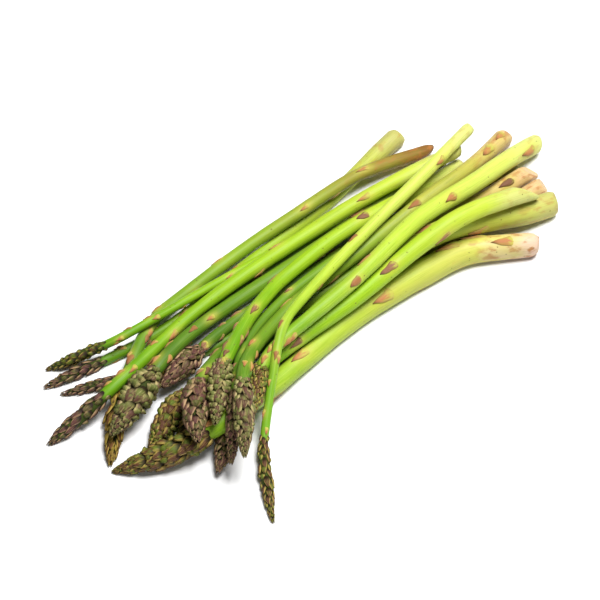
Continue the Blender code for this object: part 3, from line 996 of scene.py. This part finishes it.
# Three spears whose butts lie under the pile
# Deep green stems, of which mostly the heads show: one straw brown, one wide and grey-green,
# and one short and purple that points up.

straw_scale = scale_skin(
    "straw_scale", body=(0.24, 0.17, 0.02), flush=(0.12, 0.045, 0.012), margin=(0.50, 0.36, 0.07)
)
grey_scale = scale_skin(
    "grey_scale", body=(0.14, 0.16, 0.035), flush=(0.105, 0.046, 0.029), margin=(0.54, 0.45, 0.19)
)

spear_piece(
    "spear_hidden_brown", (6.3, 5.8, 5.2, 8.2), 30, (0.3, 90, 1.0),
    [(20, 60), (48, 200), (76, 330), (104, 110), (130, 250), (152, 30)],
    KNOBBY, (deep_skin, pale_cut, purple_leaf, straw_scale),
)
spear_piece(
    "spear_wide_head", (7.6, 7.2, 6.3, 12.0), 38, (0.3, 60, 1.0),
    [(22, 300), (52, 80), (84, 210), (116, 340), (146, 120), (167, 250), (181, 40)],
    KNOBBY, (deep_skin, pale_cut, tan_leaf, grey_scale),
)
spear_piece(
    "spear_raised_tip", (6.8, 6.3, 5.4, 9.6), 28, (0.2, 90, 1.0),
    [(20, 120), (50, 260), (80, 30), (112, 170), (138, 40), (152, 280), (164, 145)],
    COMPACT, (deep_skin, pale_cut, purple_leaf, purple_scale),
)

# The spear with the brown cut
# Its butt is brown with a long slanted cut, and its head has begun to open, with long loose
# scales that have dried to straw brown.

LOOSE = {
    "long": 2.1, "wide": 34.0, "bulge": 0.13, "lift": 0.34, "spread": 0.70, "pitch": 0.115,
    "core": 0.70, "buds": 0.35, "neck": 26.0,
}

brown_skin = skin(
    "brown_skin", butt=(0.22, 0.095, 0.02), pale=(0.27, 0.24, 0.035), green=(0.23, 0.37, 0.02),
    deep=(0.10, 0.22, 0.01), rust=0.8,
)

spear_piece(
    "spear_brown_cut", (6.8, 6.4, 5.8, 8.6), 42, (1.2, 270, 1.0),
    [(14, 250), (35, 100), (54, 220), (73, 115), (97, 310), (121, 35), (141, 180), (161, 40),
     (175, 155), (191, 45)],
    LOOSE, (brown_skin, pink_cut, tan_leaf, straw_scale),
)

# Two thin spears
# One is dark green, with a compact head that is reddish purple at its tip. The other is the
# thinnest of all, fresh green, with a slender olive head.

fresh_skin = skin(
    "fresh_skin", butt=(0.50, 0.51, 0.15), pale=(0.43, 0.53, 0.04), green=(0.27, 0.45, 0.01),
    deep=(0.12, 0.29, 0.005), rust=0.25,
)

spear_piece(
    "spear_dark_low", (5.8, 5.4, 4.5, 6.3), 34, (0.2, 90, 1.0),
    [(18, 200), (46, 330), (76, 110), (108, 65), (132, 240), (154, 150), (173, 60)],
    COMPACT, (deep_skin, pale_cut, purple_leaf, purple_scale),
)
spear_piece(
    "spear_thin_left", (5.0, 4.6, 4.1, 5.2), 30, (0.2, 90, 1.0),
    [(18, 50), (48, 190), (82, 320), (121, 130), (145, 260), (167, 45), (183, 140)],
    SLENDER, (fresh_skin, pale_cut, tan_leaf, olive_scale),
)

# Fresh green spears
# One has a steep yellow-green cut, one has a purple-brown leaf near its middle, and one reaches
# farther than any other head.

green_cut = cut_skin("green_cut", (0.44, 0.46, 0.10))

spear_piece(
    "spear_slant_butt", (9.0, 9.0, 6.8, 11.4), 34, (1.3, 50, 1.0),
    [(18, 270), (48, 180), (79, 110), (108, 330), (137, 135), (156, 240), (171, 60)],
    LOOSE, (fresh_skin, green_cut, purple_leaf, olive_scale),
)
spear_piece(
    "spear_under_pink", (7.6, 7.2, 6.3, 8.8), 34, (0.2, 90, 1.0),
    [(16, 190), (38, 320), (61, 95), (88, 230), (114, 10), (139, 105), (153, 200), (165, 25),
     (176, 95)],
    KNOBBY, (fresh_skin, pale_cut, purple_leaf, grey_scale),
)
spear_piece(
    "spear_long_left", (7.2, 7.2, 5.9, 6.8), 34, (0.3, 200, 1.0),
    [(20, 240), (53, 120), (78, 300), (102, 40), (116, 200), (142, 320), (170, 150), (188, 260),
     (203, 45)],
    SLENDER, (fresh_skin, pale_cut, tan_leaf, purple_scale),
)

# Three spears high on the pile
# One has a brown-pink butt and a grey-green head. The other two are the palest: a wide one, and
# a thin one that hooks down at its tip.

light_skin = skin(
    "light_skin", butt=(0.56, 0.58, 0.17), pale=(0.53, 0.60, 0.10), green=(0.40, 0.54, 0.04),
    deep=(0.14, 0.32, 0.01), rust=0.3,
)

spear_piece(
    "spear_pink_butt", (9.0, 7.2, 6.3, 8.4), 36, (0.5, 90, 1.0),
    [(5, 90), (19, 105), (45, 250), (73, 100), (100, 330), (128, 210), (155, 20), (172, 300),
     (189, 65), (206, 175)],
    COMPACT, (pink_skin, pink_cut, tan_leaf, grey_scale),
)
spear_piece(
    "spear_wide_top", (9.4, 9.4, 5.9, 6.4), 28, (0.3, 180, 1.6),
    [(9, 155), (38, 270), (69, 125), (98, 240), (127, 35), (140, 140), (162, 300), (183, 170),
     (198, 85)],
    COMPACT, (light_skin, pale_cut, tan_leaf, olive_scale),
)
spear_piece(
    "spear_hook_top", (6.3, 6.3, 4.0, 5.4), 42, (0.3, 120, 1.0),
    [(26, 145), (58, 280), (87, 55), (103, 310), (119, 200), (136, 330), (152, 55), (167, 95),
     (180, 250), (193, 40)],
    SLENDER, (light_skin, pale_cut, tan_leaf, olive_scale),
)

# The end of the making
# The two blades that the leaves and scales were copied from are cleared away.

bpy.data.objects.remove(leaf_blade)
bpy.data.objects.remove(scale_blade)
